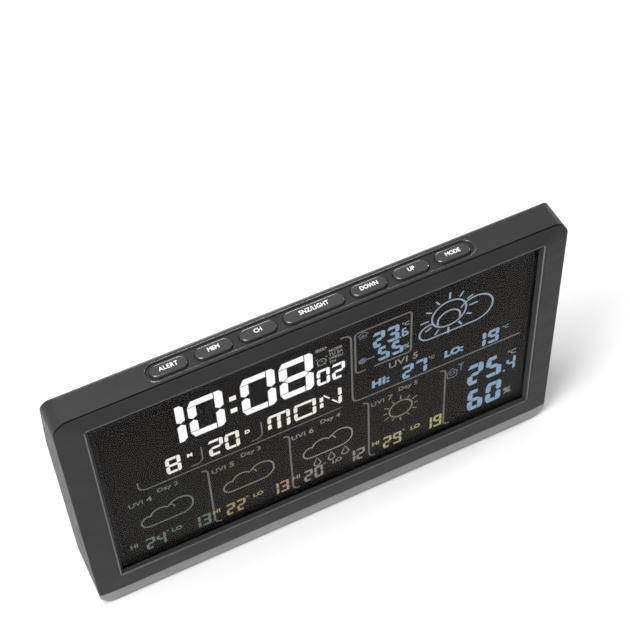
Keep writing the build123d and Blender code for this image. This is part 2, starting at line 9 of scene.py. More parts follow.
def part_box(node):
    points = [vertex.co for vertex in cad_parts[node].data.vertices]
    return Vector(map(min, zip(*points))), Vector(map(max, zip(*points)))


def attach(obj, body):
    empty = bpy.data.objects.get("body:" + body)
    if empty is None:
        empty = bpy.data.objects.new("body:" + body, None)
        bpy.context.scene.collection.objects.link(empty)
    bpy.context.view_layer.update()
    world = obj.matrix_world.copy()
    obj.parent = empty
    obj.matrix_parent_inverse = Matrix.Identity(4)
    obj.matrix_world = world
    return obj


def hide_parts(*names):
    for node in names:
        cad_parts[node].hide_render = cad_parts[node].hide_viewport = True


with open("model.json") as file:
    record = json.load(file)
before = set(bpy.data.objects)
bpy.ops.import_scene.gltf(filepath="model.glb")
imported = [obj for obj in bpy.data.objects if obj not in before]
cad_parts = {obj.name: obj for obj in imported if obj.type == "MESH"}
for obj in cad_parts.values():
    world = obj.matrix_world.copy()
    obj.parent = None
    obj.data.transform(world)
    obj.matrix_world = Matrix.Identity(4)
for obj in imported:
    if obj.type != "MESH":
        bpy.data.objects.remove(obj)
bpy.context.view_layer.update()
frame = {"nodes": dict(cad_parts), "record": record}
mm = 0.001
scene = bpy.context.scene
scene.view_settings.view_transform = "Standard"
print("frame loaded")


def grey(tone):
    return tone, tone, tone


# colours are linear, lengths are millimetres; shine is the specular level
plasticLooks = {
    "casePlastic": dict(colour=grey(0.030), rough=0.50, grain=0.42, bump=0.014, wear=0.07, shine=0.25),
    "framePlastic": dict(colour=grey(0.030), rough=0.44, grain=0.42, bump=0.007, wear=0.07, shine=0.10),
    "keyPlastic": dict(colour=grey(0.044), rough=0.24, grain=0.50, bump=0.003, wear=0.03, shine=0.8),
    "polishedLip": dict(colour=grey(0.045), rough=0.20, grain=0.50, bump=0.002, wear=0.03, shine=0.9),
    "silverPlastic": dict(colour=grey(0.262), rough=0.42, grain=0.40, bump=0.004, wear=0.06),
    "footRubber": dict(colour=grey(0.030), rough=0.80, grain=0.35, bump=0.020, wear=0.20),
    "whiteSheet": dict(colour=(0.80, 0.80, 0.78), rough=0.60, grain=0.30, bump=0.003, wear=0.03),
    "holderPlastic": dict(colour=(0.62, 0.62, 0.60), rough=0.45, grain=0.50, bump=0.005, wear=0.05),
    "switchBlack": dict(colour=grey(0.020), rough=0.45, grain=0.30, bump=0.005, wear=0.08),
    "chipBlack": dict(colour=(0.016, 0.016, 0.017), rough=0.55, grain=0.25, bump=0.004, wear=0.05),
    "flatRibbon": dict(colour=(0.62, 0.60, 0.55), rough=0.40, grain=0.50, bump=0.006, wear=0.05),
    "solderMask": dict(colour=(0.012, 0.085, 0.035), rough=0.35, grain=0.80, bump=0.010, wear=0.05),
    "ledWhite": dict(colour=(0.85, 0.84, 0.70), rough=0.35, grain=0.40, bump=0.003, wear=0.02),
    "legendInk": dict(colour=(0.86, 0.86, 0.85), rough=0.45, grain=0.30, bump=0.002, wear=0.03),
    "printInk": dict(colour=grey(0.012), rough=0.40, grain=0.40, bump=0.002, wear=0.02, shine=0.03),
}
plainShine = 0.5
metalLooks = {
    "tinPlate": {"colour": (0.60, 0.60, 0.58), "rough": 0.30, "brush": 60.0},
    "copperWire": {"colour": (0.72, 0.35, 0.20), "rough": 0.28, "brush": 40.0},
    "brassPin": {"colour": (0.70, 0.52, 0.24), "rough": 0.26, "brush": 50.0},
    "screwSteel": {"colour": (0.24, 0.24, 0.25), "rough": 0.34, "brush": 30.0},
    "cellSteel": {"colour": (0.62, 0.62, 0.63), "rough": 0.24, "brush": 70.0},
}


def newMaterial(name):
    material = bpy.data.materials.new(name)
    material.use_nodes = True
    nodes = material.node_tree.nodes
    return material, nodes, material.node_tree.links, nodes["Principled BSDF"]


def noiseOn(nodes, links, place, scale, detail=3.0, stretch=(1.0, 1.0, 1.0)):
    mapping = nodes.new("ShaderNodeMapping")
    mapping.inputs["Scale"].default_value = stretch
    noise = nodes.new("ShaderNodeTexNoise")
    noise.inputs["Scale"].default_value = scale
    noise.inputs["Detail"].default_value = detail
    links.new(place.outputs["Object"], mapping.inputs["Vector"])
    links.new(mapping.outputs["Vector"], noise.inputs["Vector"])
    return noise.outputs["Fac"]


def rampOn(nodes, links, value, low, high, lowTo, highTo):
    ramp = nodes.new("ShaderNodeMapRange")
    ramp.inputs["From Min"].default_value = low
    ramp.inputs["From Max"].default_value = high
    ramp.inputs["To Min"].default_value = lowTo
    ramp.inputs["To Max"].default_value = highTo
    links.new(value, ramp.inputs["Value"])
    return ramp.outputs["Result"]


def mixOn(nodes, links, share, first, second):
    mix = nodes.new("ShaderNodeMix")
    mix.data_type = "RGBA"
    links.new(share, mix.inputs["Factor"])
    for socket, colour in ((mix.inputs["A"], first), (mix.inputs["B"], second)):
        if isinstance(colour, tuple):
            socket.default_value = (*colour, 1.0)
        else:
            links.new(colour, socket)
    return mix.outputs["Result"]


def scaled(colour, factor):
    return tuple(min(1.0, part * factor) for part in colour)


def mouldedPlastic(name, look):
    material, nodes, links, shader = newMaterial(name)
    place = nodes.new("ShaderNodeTexCoord")
    grain = noiseOn(nodes, links, place, 1.0 / (look["grain"] * mm), 2.0)
    patches = noiseOn(nodes, links, place, 45.0, 4.0)
    scuffs = noiseOn(nodes, links, place, 160.0, 5.0, (0.25, 1.0, 1.0))
    # fine mottling of the texture, then slow patches, then rubbed spots
    speckle = rampOn(nodes, links, grain, 0.3, 0.7, 0.0, 1.0)
    base = mixOn(nodes, links, speckle, scaled(look["colour"], 0.90), scaled(look["colour"], 1.12))
    slow = rampOn(nodes, links, patches, 0.35, 0.65, 0.0, 0.35)
    base = mixOn(nodes, links, slow, base, scaled(look["colour"], 0.82))
    rubbed = rampOn(nodes, links, scuffs, 0.60, 0.78, 0.0, look["wear"])
    base = mixOn(nodes, links, rubbed, base, scaled(look["colour"], 1.9))
    links.new(base, shader.inputs["Base Color"])
    gloss = rampOn(nodes, links, scuffs, 0.3, 0.75, look["rough"] + 0.06, look["rough"] - 0.08)
    links.new(gloss, shader.inputs["Roughness"])
    bump = nodes.new("ShaderNodeBump")
    bump.inputs["Strength"].default_value = 0.8
    bump.inputs["Distance"].default_value = look["bump"] * mm
    links.new(grain, bump.inputs["Height"])
    links.new(bump.outputs["Normal"], shader.inputs["Normal"])
    shader.inputs["Specular IOR Level"].default_value = look.get("shine", plainShine)
    return material


def drawnMetal(name, look):
    material, nodes, links, shader = newMaterial(name)
    shader.inputs["Metallic"].default_value = 1.0
    place = nodes.new("ShaderNodeTexCoord")
    lines = noiseOn(nodes, links, place, 900.0, 3.0, (1.0, 1.0, look["brush"] / 600.0))
    stain = noiseOn(nodes, links, place, 120.0, 4.0)
    tone = rampOn(nodes, links, stain, 0.35, 0.7, 0.0, 1.0)
    base = mixOn(nodes, links, tone, look["colour"], scaled(look["colour"], 0.78))
    links.new(base, shader.inputs["Base Color"])
    gloss = rampOn(nodes, links, lines, 0.3, 0.7, look["rough"] - 0.06, look["rough"] + 0.10)
    links.new(gloss, shader.inputs["Roughness"])
    bump = nodes.new("ShaderNodeBump")
    bump.inputs["Strength"].default_value = 0.5
    bump.inputs["Distance"].default_value = 0.004 * mm
    links.new(lines, bump.inputs["Height"])
    links.new(bump.outputs["Normal"], shader.inputs["Normal"])
    return material


windowLook = {"bend": 1.06, "shine": 0.2, "tint": (0.96, 0.96, 0.97), "clear": (0.985, 0.985, 0.985)}
guideLook = {"bend": 1.49, "clear": (0.95, 0.97, 0.98), "dotted": (0.80, 0.84, 0.86)}
displayLook = {
    "base": (0.0035, 0.0026, 0.0020), "glow": (0.0016, 0.0008, 0.0002), "strength": 1.0, "shine": 0.03,
}


def clearWindow():
    material, nodes, links, shader = newMaterial("windowAcrylic")
    shader.inputs["Transmission Weight"].default_value = 1.0
    shader.inputs["IOR"].default_value = windowLook["bend"]
    shader.inputs["Specular IOR Level"].default_value = windowLook["shine"]
    shader.inputs["Roughness"].default_value = 0.0
    place = nodes.new("ShaderNodeTexCoord")
    smear = noiseOn(nodes, links, place, 30.0, 5.0, (1.0, 1.0, 0.4))
    share = rampOn(nodes, links, smear, 0.45, 0.8, 0.0, 1.0)
    colour = mixOn(nodes, links, share, windowLook["clear"], windowLook["tint"])
    links.new(colour, shader.inputs["Base Color"])
    return material


def clearGuide():
    material, nodes, links, shader = newMaterial("guideAcrylic")
    shader.inputs["Transmission Weight"].default_value = 1.0
    shader.inputs["IOR"].default_value = guideLook["bend"]
    place = nodes.new("ShaderNodeTexCoord")
    dots = noiseOn(nodes, links, place, 1200.0, 1.0)
    links.new(rampOn(nodes, links, dots, 0.4, 0.7, 0.05, 0.45), shader.inputs["Roughness"])
    tint = rampOn(nodes, links, dots, 0.4, 0.7, 0.0, 1.0)
    colour = mixOn(nodes, links, tint, guideLook["clear"], guideLook["dotted"])
    links.new(colour, shader.inputs["Base Color"])
    return material


def darkDisplay():
    material, nodes, links, shader = newMaterial("displayDark")
    place = nodes.new("ShaderNodeTexCoord")
    haze = noiseOn(nodes, links, place, 14.0, 3.0)
    tone = rampOn(nodes, links, haze, 0.3, 0.7, 0.0, 1.0)
    glow = displayLook["glow"]
    lit = mixOn(nodes, links, tone, scaled(glow, 0.93), scaled(glow, 1.07))
    links.new(lit, shader.inputs["Emission Color"])
    base = mixOn(nodes, links, tone, displayLook["base"], scaled(displayLook["base"], 1.2))
    links.new(base, shader.inputs["Base Color"])
    shader.inputs["Emission Strength"].default_value = displayLook["strength"]
    shader.inputs["Specular IOR Level"].default_value = displayLook["shine"]
    links.new(rampOn(nodes, links, haze, 0.3, 0.7, 0.28, 0.36), shader.inputs["Roughness"])
    return material


def litInk(name, colour):
    material, nodes, links, shader = newMaterial(name)
    shader.inputs["Emission Strength"].default_value = 1.0
    shader.inputs["Specular IOR Level"].default_value = displayLook["shine"]
    shader.inputs["Roughness"].default_value = 0.5
    place = nodes.new("ShaderNodeTexCoord")
    spread = noiseOn(nodes, links, place, 260.0, 2.0)
    tone = rampOn(nodes, links, spread, 0.3, 0.7, 0.0, 1.0)
    lit = mixOn(nodes, links, tone, scaled(colour, 0.92), scaled(colour, 1.06))
    links.new(lit, shader.inputs["Emission Color"])
    base = mixOn(nodes, links, tone, scaled(colour, 0.05), scaled(colour, 0.06))
    links.new(base, shader.inputs["Base Color"])
    return material


finishes = {name: mouldedPlastic(name, look) for name, look in plasticLooks.items()}
finishes.update({name: drawnMetal(name, look) for name, look in metalLooks.items()})
finishes["windowAcrylic"] = clearWindow()
finishes["guideAcrylic"] = clearGuide()
finishes["displayDark"] = darkDisplay()
inkColours = {
    "inkWhite": (1.00, 1.00, 1.00),
    "inkSoftWhite": (0.84, 0.81, 0.76),
    "inkLine": (0.150, 0.138, 0.126),
    "inkBlue": (0.235, 0.340, 0.475),
    "inkDimBlue": (0.120, 0.140, 0.190),
    "inkPaleBlue": (0.270, 0.330, 0.420),
    "inkGrey": (0.245, 0.240, 0.225),
    "inkGreen": (0.130, 0.175, 0.130),
    "inkOrange": (0.330, 0.245, 0.140),
    "inkYellow": (0.370, 0.360, 0.180),
    "inkOlive": (0.205, 0.195, 0.135),
}
finishes.update({name: litInk(name, colour) for name, colour in inkColours.items()})
print("materials made:", len(finishes))

slotFinish = {
    "case_plastic": "casePlastic", "frame_plastic": "framePlastic", "key_plastic": "keyPlastic",
    "silver_plastic": "silverPlastic", "window": "windowAcrylic", "display": "displayDark",
    "guide": "guideAcrylic", "white_sheet": "whiteSheet", "holder_plastic": "holderPlastic",
    "board": "solderMask", "chip": "chipBlack", "tin": "tinPlate", "copper": "copperWire",
    "brass_pin": "brassPin", "steel": "screwSteel", "cell_steel": "cellSteel", "rubber": "footRubber",
    "ribbon": "flatRibbon", "switch_black": "switchBlack", "led_white": "ledWhite",
}
nodeSlots = {part["node"]: part["material_slot"] for part in frame["record"]["subparts"]}


def finishNode(name, item):
    slotName = nodeSlots[name]
    item.data.materials.clear()
    item.data.materials.append(finishes[slotFinish[slotName]])


for nodeName, nodeObject in frame["nodes"].items():
    finishNode(nodeName, nodeObject)
print("CAD nodes finished:", len(frame["nodes"]))


def settle(bm, name, body, finish, soft=40.0):
    # turns a bmesh into a piece of the object, in place, on its body
    bmesh.ops.recalc_face_normals(bm, faces=bm.faces)
    mesh = bpy.data.meshes.new(name)
    bm.to_mesh(mesh)
    bm.free()
    item = bpy.data.objects.new(name, mesh)
    scene.collection.objects.link(item)
    mesh.materials.append(finishes[finish])
    if soft:
        mesh.shade_smooth()
        mesh.set_sharp_from_angle(angle=math.radians(soft))
    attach(item, body)
    return item


def takeMesh(bm, mesh, place):
    # copies a mesh into the bmesh, moved by a matrix
    mesh.transform(place)
    bm.from_mesh(mesh)
    bpy.data.meshes.remove(mesh)


def meshOf(curve):
    holder = bpy.data.objects.new(curve.name, curve)
    scene.collection.objects.link(holder)
    bpy.context.view_layer.update()
    graph = bpy.context.evaluated_depsgraph_get()
    mesh = bpy.data.meshes.new_from_object(holder.evaluated_get(graph))
    bpy.data.objects.remove(holder)
    bpy.data.curves.remove(curve)
    return mesh


def lettering(words, size, weight=0.0, thick=0.04, spacing=1.0, align="CENTER"):
    curve = bpy.data.curves.new("lettering", "FONT")
    curve.body = words
    curve.size = size * mm
    curve.offset = weight * mm
    curve.extrude = thick * mm / 2
    curve.space_character = spacing
    curve.align_x = align
    curve.align_y = "CENTER"
    curve.resolution_u = 3
    return meshOf(curve)


# seven long rounded keys in the tray: a flange under the lid, a cap with a rolled rim
keyLook = {
    "rim": 0.72, "rimSteps": 6, "crown": 0.10, "lap": 0.8, "flange": 0.8, "arc": 56,
    "crownSteps": ((0.7, 0.7), (0.6, 0.3)),  # inset, then its share of the crown
}
legendLook = {"size": 2.75, "weight": 0.05, "narrow": 0.88, "proud": 0.03}
keyLegends = {
    "alert": ("ALERT", 1.14), "mem": ("MEM", 0.98), "ch": ("CH", 0.92), "snooze": ("SNZ/LIGHT", 1.04),
    "down": ("DOWN", 0.90), "up": ("UP", 1.0), "mode": ("MODE", 0.92),
}


def stretchEnds(bm, half):
    for vertex in bm.verts:
        vertex.co.x += half if vertex.co.x > 0 else -half


def topFaces(bm):
    peak = max(face.calc_center_median().z for face in bm.faces)
    return [face for face in bm.faces if abs(face.calc_center_median().z - peak) < 1e-6]


def raiseFace(bm, face, rise):
    grown = bmesh.ops.extrude_face_region(bm, geom=[face])
    verts = [part for part in grown["geom"] if isinstance(part, bmesh.types.BMVert)]
    bmesh.ops.translate(bm, vec=(0, 0, rise), verts=verts)
    bmesh.ops.delete(bm, geom=[face], context="FACES_ONLY")
    return topFaces(bm)[0]


def topKey(name):
    # makes the key and gives the middle of its top, where the legend goes
    low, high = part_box("key_" + name)
    flangeAcross = high.y - low.y
    lap = keyLook["lap"] * mm
    flangeTop = low.z + keyLook["flange"] * mm
    bm = bmesh.new()
    bmesh.ops.create_circle(bm, segments=keyLook["arc"], radius=flangeAcross / 2, cap_ends=True)
    bmesh.ops.rotate(bm, verts=bm.verts, matrix=Matrix.Rotation(math.pi / keyLook["arc"], 3, "Z"))
    stretchEnds(bm, (high.x - low.x - flangeAcross) / 2)
    bottom = bm.faces[:][0]
    top = raiseFace(bm, bottom, flangeTop - low.z)
    bmesh.ops.inset_region(bm, faces=[top], thickness=lap, use_even_offset=True)
    top = max(topFaces(bm), key=lambda face: face.calc_area())
    top = raiseFace(bm, top, high.z - flangeTop - (keyLook["crown"] + legendLook["proud"]) * mm)
    bmesh.ops.bevel(
        bm, geom=list(top.edges), offset=keyLook["rim"] * mm, segments=keyLook["rimSteps"], profile=0.5,
        affect="EDGES", material=-1,
    )
    for inset, share in keyLook["crownSteps"]:
        top = max(topFaces(bm), key=lambda face: face.calc_area())
        bmesh.ops.inset_region(bm, faces=[top], thickness=inset * mm, depth=keyLook["crown"] * mm * share)
    bmesh.ops.holes_fill(bm, edges=[edge for edge in bm.edges if edge.is_boundary])
    middle = (low + high) / 2
    bmesh.ops.translate(bm, vec=(middle.x, middle.y, low.z), verts=bm.verts)
    item = settle(bm, "key_cap_" + name, "key_" + name + "_body", "keyPlastic", 30.0)
    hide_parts("key_" + name)
    return Vector((middle.x, middle.y, high.z - legendLook["proud"] * mm))


def keyLegend(name, words, spacing, spot):
    bm = bmesh.new()
    mesh = lettering(words, legendLook["size"], legendLook["weight"], 2 * legendLook["proud"], spacing)
    takeMesh(bm, mesh, Matrix.Translation(spot) @ Matrix.Scale(legendLook["narrow"], 4, (1, 0, 0)))
    bmesh.ops.triangulate(bm, faces=bm.faces)
    return settle(bm, "legend_" + name, "key_" + name + "_body", "legendInk", 0)


for keyName, (keyWords, keySpacing) in keyLegends.items():
    keyLegend(keyName, keyWords, keySpacing, topKey(keyName))
print("top keys and legends made")

# polished bead round the key tray, half sunk in the lid
beadLook = {"radius": 0.34, "sunk": 0.12, "roundSteps": 5, "margin": 1.9, "side": 1.7}
firstLow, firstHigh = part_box("key_alert")
lastLow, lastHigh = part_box("key_mode")
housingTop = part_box("rear_housing")[1].z


def trayBead():
    # the flange laps under the lid, so the cap is that much inside the key's box
    lap = keyLook["lap"] * mm
    across = (firstHigh.y - firstLow.y) / 2 - lap + beadLook["side"] * mm
    half = (lastHigh.x - firstLow.x) / 2 - lap + beadLook["margin"] * mm - across
    middle = (firstLow.y + firstHigh.y) / 2
    curve = bpy.data.curves.new("tray_bead", "CURVE")
    curve.dimensions = "3D"
    curve.bevel_depth = beadLook["radius"] * mm
    curve.bevel_resolution = beadLook["roundSteps"]
    spline = curve.splines.new("POLY")
    spline.use_cyclic_u = True
    turn = [math.radians(6 * k) for k in range(31)]
    path = [(half + across * math.sin(a), across * math.cos(a)) for a in turn]
    path += [(-half - across * math.sin(a), -across * math.cos(a)) for a in turn]
    spline.points.add(len(path) - 1)
    for point, (x, y) in zip(spline.points, path):
        point.co = (x, middle + y, housingTop - beadLook["sunk"] * mm, 1)
    bm = bmesh.new()
    takeMesh(bm, meshOf(curve), Matrix.Identity(4))
    return settle(bm, "tray_bead", "case", "polishedLip", 60.0)


trayBead()
print("tray bead made")

# the lit display: every mark is a thin film on the front of the glass
glassLow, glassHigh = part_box("display_glass")
inkThick = 0.05 * mm
inkGap = 0.02 * mm
inkFront = glassLow.y - inkGap - inkThick


def addPatch(bm, points):
    verts = [bm.verts.new((x * mm, inkFront, z * mm)) for x, z in points]
    face = bm.faces.new(verts)
    grown = bmesh.ops.extrude_face_region(bm, geom=[face])
    moved = [part for part in grown["geom"] if isinstance(part, bmesh.types.BMVert)]
    bmesh.ops.translate(bm, vec=(0, inkThick, 0), verts=moved)


def addLine(bm, points, width, closed=False):
    curve = bpy.data.curves.new("line", "CURVE")
    curve.dimensions = "3D"
    curve.bevel_depth = width * mm / 2
    curve.bevel_resolution = 1
    curve.use_fill_caps = not closed
    spline = curve.splines.new("POLY")
    spline.points.add(len(points) - 1)
    spline.use_cyclic_u = closed
    for point, (x, z) in zip(spline.points, points):
        point.co = (x * mm, 0, z * mm, 1)
    flat = Matrix.Scale(inkThick / (width * mm), 4, (0, 1, 0))
    takeMesh(bm, meshOf(curve), Matrix.Translation((0, inkFront + inkThick / 2, 0)) @ flat)


def addWords(bm, words, x, z, size, weight=0.05, spacing=1.0, align="LEFT"):
    mesh = lettering(words, size, weight, inkThick / mm, spacing, align)
    upright = Matrix.Rotation(math.pi / 2, 4, "X")
    takeMesh(bm, mesh, Matrix.Translation((x * mm, inkFront + inkThick / 2, z * mm)) @ upright)


def arcPoints(x, z, radius, start, end, steps=14):
    turn = (end - start) / steps
    angles = [math.radians(start + turn * k) for k in range(steps + 1)]
    return [(x + radius * math.cos(a), z + radius * math.sin(a)) for a in angles]


def segmentShapes(w, h, t, gap):
    # the seven bars of a numeral, as outlines in a cell w wide and h high
    mid = h / 2
    top = [(0, h - t), (0.45 * t, h), (w - t - gap, h), (w - t - gap, h - t)]
    upperLeft = [(0, h - t - gap), (t, h - t - gap), (t, mid + t / 2), (t / 2, mid + gap), (0, mid + t / 2)]
    upperRight = [
        (w - t, h), (w - 0.4 * t, h), (w, h - 0.5 * t), (w, mid + t / 2),
        (w - t / 2, mid + gap), (w - t, mid + t / 2),
    ]
    middle = [
        (0.6 * t, mid), (t + gap, mid + t / 2), (w - t - gap, mid + t / 2),
        (w - 0.6 * t, mid), (w - t - gap, mid - t / 2), (t + gap, mid - t / 2),
    ]

    def flipped(points):
        return [(x, h - z) for x, z in points]

    return {
        "a": top, "f": upperLeft, "b": upperRight, "g": middle,
        "d": flipped(top), "e": flipped(upperLeft), "c": flipped(upperRight),
    }


numeralBars = {
    "0": "abcdef", "1": "bc", "2": "abdeg", "3": "abcdg", "4": "bcfg",
    "5": "acdfg", "6": "acdefg", "7": "abc", "8": "abcdefg", "9": "abcdfg",
}


def addShapes(bm, shapes, x, z):
    for shape in shapes:
        addPatch(bm, [(x + px, z + pz) for px, pz in shape])


def addBox(bm, x, z, wide, high):
    addPatch(bm, [(x, z), (x + wide, z), (x + wide, z + high), (x, z + high)])


def addNumber(bm, figures, x, z, w, h, t, pitch):
    bars = segmentShapes(w, h, t, 0.10 * t + 0.06)
    for index, figure in enumerate(figures):
        addShapes(bm, [bars[bar] for bar in numeralBars[figure]], x + index * pitch, z)


def displayPiece(bm, name, ink):
    return settle(bm, name, "case", ink, 0)


# a number is written as: figures, x, low, wide, high, bar, pitch
clockLook = {
    "figures": ((-73.8, "1"), (-57.4, "0"), (-35.2, "0"), (-18.7, "8")),
    "low": 91.6, "wide": 14.8, "high": 23.6, "bar": 3.5,
    "colonX": -38.7, "colonZ": (98.4, 106.4), "colonSide": 2.8,
    "seconds": ("02", -2.6, 91.1, 5.8, 10.2, 1.5, 6.8),
}


def clockFigures():
    look = clockLook
    bm = bmesh.new()
    for x, figure in look["figures"]:
        addNumber(bm, figure, x, look["low"], look["wide"], look["high"], look["bar"], 0)
    side = look["colonSide"]
    for z in look["colonZ"]:
        addBox(bm, look["colonX"] - side / 2, z - side / 2, side, side)
    addNumber(bm, *look["seconds"])
    displayPiece(bm, "clock_figures", "inkWhite")


clockFigures()

# month, day and weekday
dateLook = {
    "low": 73.6, "high": 10.8, "bar": 1.6, "monthX": -70.0, "monthWide": 6.5,
    "dayX": -51.4, "dayWide": 6.4, "dayPitch": 7.1,
    "letterX": -25.3, "letterWide": 10.0, "letterPitch": 11.7, "letterGap": 0.25,
    "tags": (("M", -60.7, 80.7), ("D", -35.5, 80.4)), "tagSize": 3.1, "tagWeight": 0.14,
}


def addWeekday(bm):
    # M, O and N drawn with the bars of a numeral's cell
    w, h, t = dateLook["letterWide"], dateLook["high"], dateLook["bar"]
    bars = segmentShapes(w, h, t, dateLook["letterGap"])
    half = w / 2
    stem = [
        (half - t / 2, h - 0.3), (half + t / 2, h - 0.3),
        (half + t / 2, h * 0.54), (half, h / 2), (half - t / 2, h * 0.54),
    ]
    slant = [
        (t + 0.3, h - 0.6), (t + 0.3, h - 0.6 - t * 0.75), (half - 0.9, h * 0.56), (half - 0.3, h * 0.60),
    ]
    letters = (
        [bars[bar] for bar in "abcef"] + [stem, [(px, h - pz) for px, pz in stem]],
        [bars[bar] for bar in "abcdef"],
        [bars[bar] for bar in "bcef"] + [slant, [(w - px, h - pz) for px, pz in slant]],
    )
    for index, shapes in enumerate(letters):
        addShapes(bm, shapes, dateLook["letterX"] + index * dateLook["letterPitch"], dateLook["low"])


def dateFigures():
    look = dateLook
    bm = bmesh.new()
    addNumber(bm, "8", look["monthX"], look["low"], look["monthWide"], look["high"], look["bar"], 0)
    day = ("20", look["dayX"], look["low"], look["dayWide"], look["high"], look["bar"], look["dayPitch"])
    addNumber(bm, *day)
    addWeekday(bm)
    for words, x, z in look["tags"]:
        addWords(bm, words, x, z, look["tagSize"], look["tagWeight"])
    displayPiece(bm, "date_figures", "inkSoftWhite")


dateFigures()

# battery, alarm clock and the alarm's days, right of the clock
marksLook = {
    "fine": 0.35, "thin": 0.45, "bold": 0.5,
    "batteryX": -2.4, "batteryZ": 113.5, "batteryWide": 4.2, "batteryHigh": 1.6,
    "cells": 3, "cellInset": 0.3, "cellPitch": 1.2, "cellWide": 0.9,
    "alarmX": -0.1, "alarmZ": 106.3, "alarmR": 1.9, "bellR": 0.7,
    "days": (("MO", "FR"), ("TU", "SA"), ("WE", "SU"), ("TH",)),
    "daysX": 3.1, "daysZ": 111.2, "daysAcross": 3.6, "daysDown": 2.5, "daysSize": 2.3,
}


def addBattery(bm):
    look = marksLook
    left, low, inset = look["batteryX"], look["batteryZ"], look["cellInset"]
    right, high = left + look["batteryWide"], low + look["batteryHigh"]
    addLine(bm, [(left, low), (right, low), (right, high), (left, high)], look["fine"], True)
    for k in range(look["cells"]):
        x = left + inset + look["cellPitch"] * k
        addBox(bm, x, low + inset, look["cellWide"], look["batteryHigh"] - 2 * inset)
    addLine(bm, [(right + 0.4, low + 0.5), (right + 0.4, high - 0.5)], look["bold"])


def addAlarmClock(bm):
    look = marksLook
    x, z = look["alarmX"], look["alarmZ"]
    addLine(bm, arcPoints(x, z, look["alarmR"], 0, 345, 23), look["bold"], True)
    addLine(bm, [(x, z + 1.1), (x, z), (x + 0.8, z)], look["fine"])
    for side in (-1, 1):
        bell = arcPoints(x + side * 1.7, z + 2.0, look["bellR"], 45 - 45 * side, 135 - 45 * side, 5)
        addLine(bm, bell, look["thin"])
        addLine(bm, [(x + side * 1.2, z - 1.5), (x + side * 1.8, z - 2.3)], look["thin"])


def clockMarks():
    look = marksLook
    bm = bmesh.new()
    addBattery(bm)
    addAlarmClock(bm)
    for row, pair in enumerate(look["days"]):
        for column, words in enumerate(pair):
            x = look["daysX"] + look["daysAcross"] * column
            addWords(bm, words, x, look["daysZ"] - look["daysDown"] * row, look["daysSize"])
    displayPiece(bm, "clock_marks", "inkGrey")


clockMarks()

# the grey rules that divide the display; a turn is written as: from, corner, to, radius
rulesLook = {
    "thin": 0.65, "bold": 0.95,
    "shelves": (
        (-82.6, 76.4, -82.6, 70.0, 8.2, 70.0, 3.4),
        (-54.4, 83.2, -54.4, 72.6, -59.6, 72.6, 3.0),
        (-28.1, 83.2, -28.1, 72.4, -33.0, 72.4, 3.0),
    ),
    "bracket": ((8.4, 116.2, 13.0, 116.2, 13.0, 90.0, 3.4), (13.0, 90.0, 13.0, 69.9, 93.0, 69.9, 3.2)),
    "posts": 4, "firstPost": -53.3, "postPitch": 36.77, "postTop": 65.8, "postMiddle": 45.0, "postLow": 24.2,
    "hookLeft": 2.6, "hookRight": 3.0, "hookTopR": 2.4, "hookLowR": 2.6,
}


def roundedCorner(fromX, fromZ, cornerX, cornerZ, toX, toZ, radius):
    # a line that turns one rounded right-angled corner
    signX = 1 if (fromX + toX) / 2 > cornerX else -1
    signZ = 1 if (fromZ + toZ) / 2 > cornerZ else -1
    centreX, centreZ = cornerX + signX * radius, cornerZ + signZ * radius
    turn = [math.radians(9 * k) for k in range(11)]
    bend = [(centreX - signX * radius * math.cos(a), centreZ - signZ * radius * math.sin(a)) for a in turn]
    if abs(fromX - cornerX) > abs(fromZ - cornerZ):
        bend.reverse()
    return [(fromX, fromZ)] + bend + [(toX, toZ)]


def roundedLine(turns):
    line = roundedCorner(*turns[0])
    for turn in turns[1:]:
        line += roundedCorner(*turn)[1:]
    return line


def displayRules():
    look = rulesLook
    bm = bmesh.new()
    for shelf in look["shelves"]:
        addLine(bm, roundedCorner(*shelf), look["thin"])
    addLine(bm, roundedLine(look["bracket"]), look["bold"])
    top, middle, low = look["postTop"], look["postMiddle"], look["postLow"]
    for k in range(look["posts"]):
        x = look["firstPost"] + look["postPitch"] * k
        upper = (x - look["hookLeft"], top, x, top, x, middle, look["hookTopR"])
        lower = (x, middle, x, low, x + look["hookRight"], low, look["hookLowR"])
        addLine(bm, roundedLine((upper, lower)), look["bold"])
    displayPiece(bm, "display_rules", "inkLine")


displayRules()

# indoor and outdoor readings; words are written as: words, x, z, size, weight, spacing
readingLook = {
    "numbers": (
        ("23", 22.6, 100.9, 5.5, 9.7, 1.8, 6.4), ("6", 35.6, 101.1, 3.1, 5.3, 0.95, 0),
        ("55", 24.8, 91.2, 5.4, 8.9, 1.7, 6.3),
        ("27", 36.1, 71.3, 5.4, 9.0, 1.65, 6.3), ("19", 70.6, 71.3, 5.4, 9.0, 1.65, 6.3),
        ("25", 68.2, 45.9, 7.7, 14.5, 2.5, 9.2), ("4", 87.6, 45.7, 4.6, 8.8, 1.3, 0),
        ("60", 69.0, 26.4, 7.7, 14.8, 2.5, 9.2),
    ),
    "points": ((34.6, 101.1, 0.7, 0.7), (86.2, 45.7, 1.0, 1.1)),
    "words": (("HI:", 21.9, 76.3, 6.3, 0.34, 1.10), ("LO:", 56.0, 76.3, 5.8, 0.30, 1.02)),
    "units": (
        ("°C", 35.6, 108.7, 3.2, 0.06), ("%", 36.5, 93.7, 4.2, 0.08),
        ("°C", 48.2, 78.6, 2.9, 0.05), ("°C", 83.6, 78.6, 2.9, 0.05),
        ("°C", 87.6, 58.0, 4.0, 0.08), ("%", 87.2, 30.0, 6.0, 0.12),
        ("UVI 5", 29.6, 84.7, 5.7, 0.05, 1.06),
    ),
}


